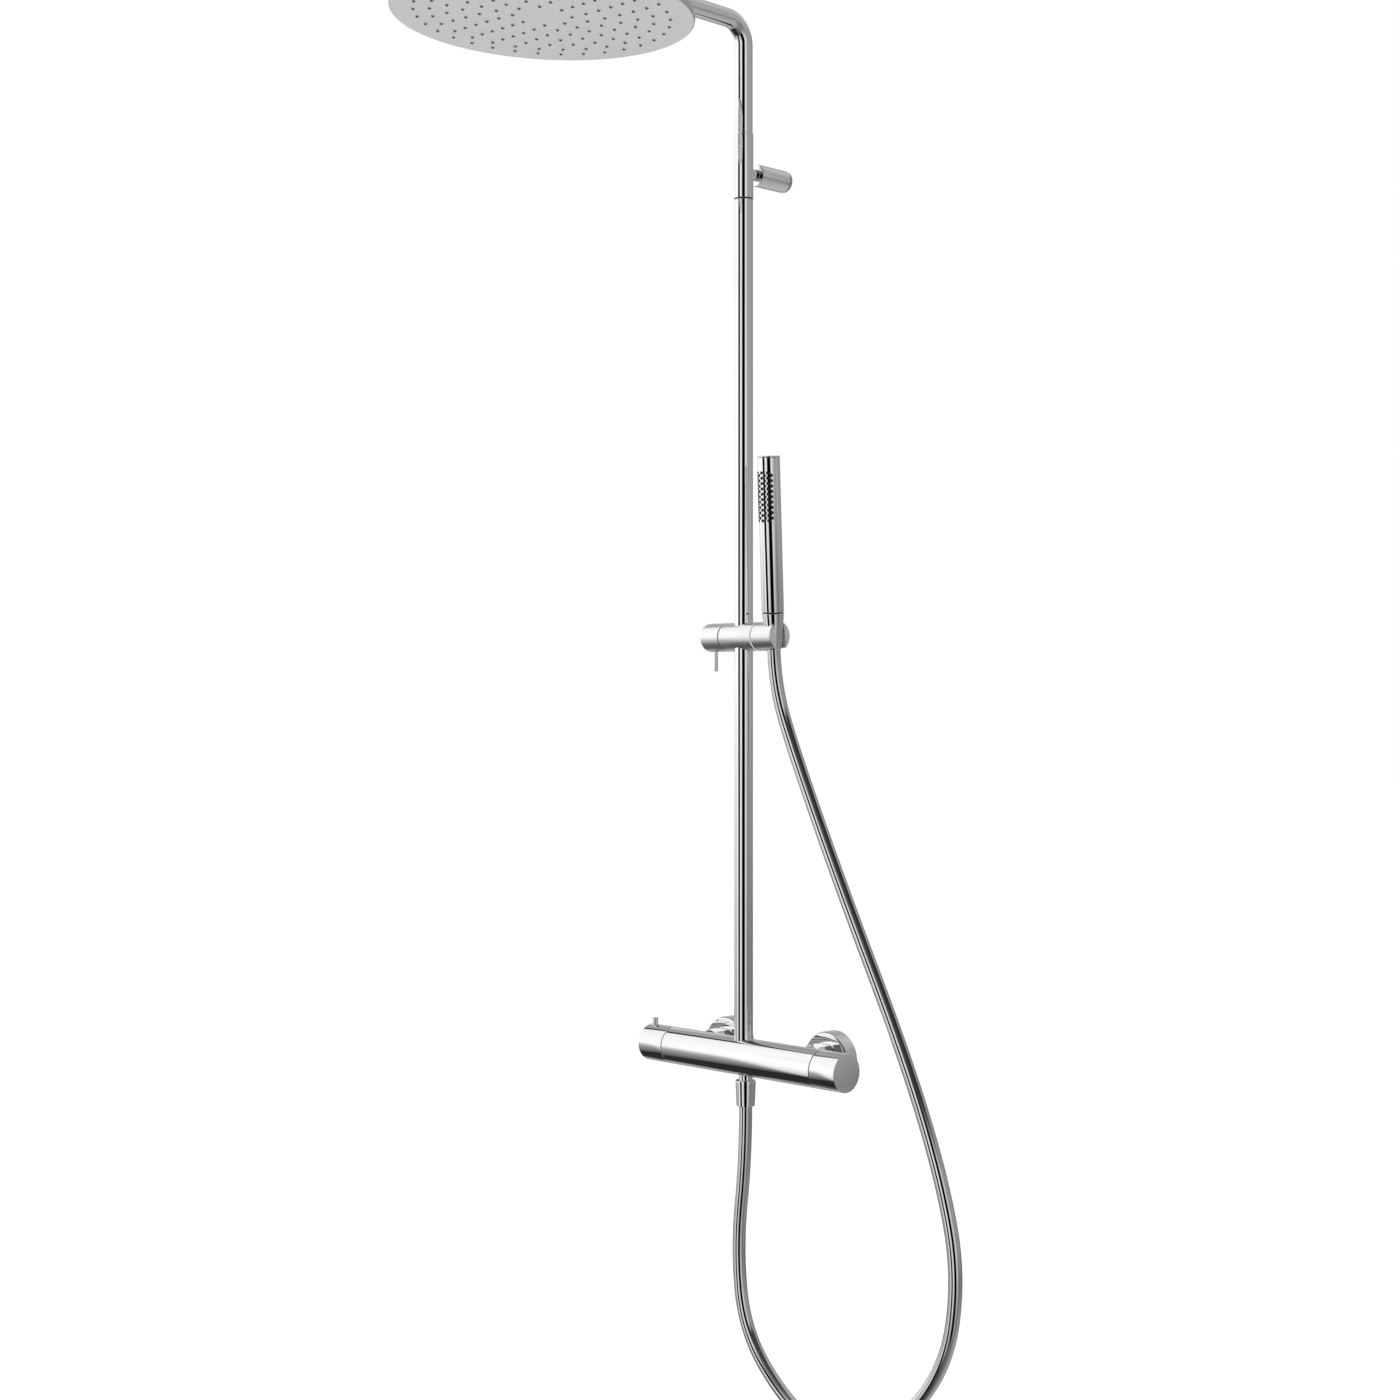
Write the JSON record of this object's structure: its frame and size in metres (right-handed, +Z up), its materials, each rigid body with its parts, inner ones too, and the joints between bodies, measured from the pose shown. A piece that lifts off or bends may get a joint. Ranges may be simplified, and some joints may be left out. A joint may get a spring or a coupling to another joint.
{
  "type": "thermostatic rainfall shower column",
  "caption": "Chrome exposed thermostatic bar mixer with a riser, swivelling overhead arm, slim round rain head, sliding holder, stick hand shower and looped hose.",
  "frame": {"origin": "on the finished wall plane, midway between the two water inlets, at the height of the mixer bar's axis", "axes": "+Y into the wall, +Z up, +X to the right of a person facing the wall"},
  "size_m": [0.4421, 0.5058, 1.4892],
  "materials": {
    "chrome": "polished",
    "satin_chrome": "satin",
    "face_satin": "satin",
    "brass": "machined",
    "steel": "zinc plated",
    "hose_skin": "silver foil under clear skin",
    "black_rubber": "matte",
    "grey_silicone": "matte",
    "grey_plastic": "moulded"
  },
  "bodies": {
    "column": {"mixer_body": "chrome", "thermostatic_cartridge": "grey_plastic", "diverter_cartridge": "brass", "cartridge_nuts": "brass", "temperature_stop_ring": "grey_plastic", "check_valves": "grey_plastic", "inlet_washers": "black_rubber", "union_nuts": "chrome", "wall_union_left": "brass", "wall_union_right": "brass", "escutcheon_left": "chrome", "escutcheon_right": "chrome", "outlet_nipple": "chrome", "outlet_washer": "black_rubber", "hose_nut": "chrome", "hose_tail_lower": "brass", "hose_tube": "hose_skin", "riser_tube": "chrome", "seam_ring": "black_rubber", "swivel_insert": "brass", "swivel_o_rings": "black_rubber", "bracket_collar": "chrome", "bracket_spigot": "chrome", "bracket_sleeve": "chrome", "bracket_wall_plate": "steel"},
    "diverter": {"diverter_knob": "chrome", "diverter_pin": "chrome", "diverter_spindle": "brass"},
    "temperature": {"temperature_knob": "chrome", "temperature_spindle": "brass"},
    "arm": {"overhead_arm": "chrome", "swivel_ball": "chrome"},
    "seat": {"ball_seat_ring": "grey_plastic"},
    "rain_head": {"head_shell": "chrome", "head_face": "face_satin", "nozzle_mat": "grey_silicone", "head_nut": "chrome"},
    "slider": {"slider_body": "satin_chrome", "slider_bush": "grey_plastic", "clamp_pad": "brass", "slider_ring": "grey_plastic", "holder_screw": "steel"},
    "lock": {"lock_knob": "satin_chrome", "lock_spindle": "brass", "lock_pin": "chrome"},
    "holder": {"holder_body": "satin_chrome"},
    "handset": {"hose_cone": "chrome", "hose_tail_upper": "brass", "cone_washer": "black_rubber", "handset_connector": "brass", "handset_seam_ring": "black_rubber", "handset_body": "chrome", "handset_core": "grey_plastic", "handset_nozzles": "black_rubber", "handset_end_cap": "chrome"}
  },
  "joints": [
    {"name": "diverter_turn", "type": "hinge", "parent": "column", "child": "diverter", "pos_m": [-0.1073, -0.064, 0], "axis": [1, 0, 0], "range_deg": [-90, 90]},
    {"name": "temperature_turn", "type": "hinge", "parent": "column", "child": "temperature", "pos_m": [0.1123, -0.064, 0], "axis": [1, 0, 0], "range_deg": [-180, 90]},
    {"name": "arm_swivel", "type": "hinge", "parent": "column", "child": "arm", "pos_m": [0, -0.064, 0.93], "axis": [0, 0, 1], "range_deg": [-60, 60]},
    {"name": "head_tilt_fore_aft", "type": "hinge", "parent": "arm", "child": "seat", "pos_m": [0, -0.3426, 1.0624], "axis": [1, 0, 0], "range_deg": [-10, 10]},
    {"name": "head_tilt_sideways", "type": "hinge", "parent": "seat", "child": "rain_head", "pos_m": [0, -0.3426, 1.0624], "axis": [0, 1, 0], "range_deg": [-10, 10]},
    {"name": "slider_travel", "type": "slide", "parent": "column", "child": "slider", "axis": [0, 0, 1], "range_m": [-0.2, 0.39], "deforming": ["hose_tube"]},
    {"name": "lock_turn", "type": "hinge", "parent": "slider", "child": "lock", "pos_m": [-0.0244, -0.064, 0.446], "axis": [1, 0, 0], "range_deg": [0, 180]},
    {"name": "holder_tilt", "type": "hinge", "parent": "slider", "child": "holder", "pos_m": [0.0246, -0.064, 0.446], "axis": [1, 0, 0], "range_deg": [-18, 40], "deforming": ["hose_tube"]},
    {"name": "handset_lift", "type": "slide", "parent": "holder", "child": "handset", "axis": [0.0758, -0.1193, 0.99], "range_m": [0, 0.05], "deforming": ["hose_tube"]}
  ]
}
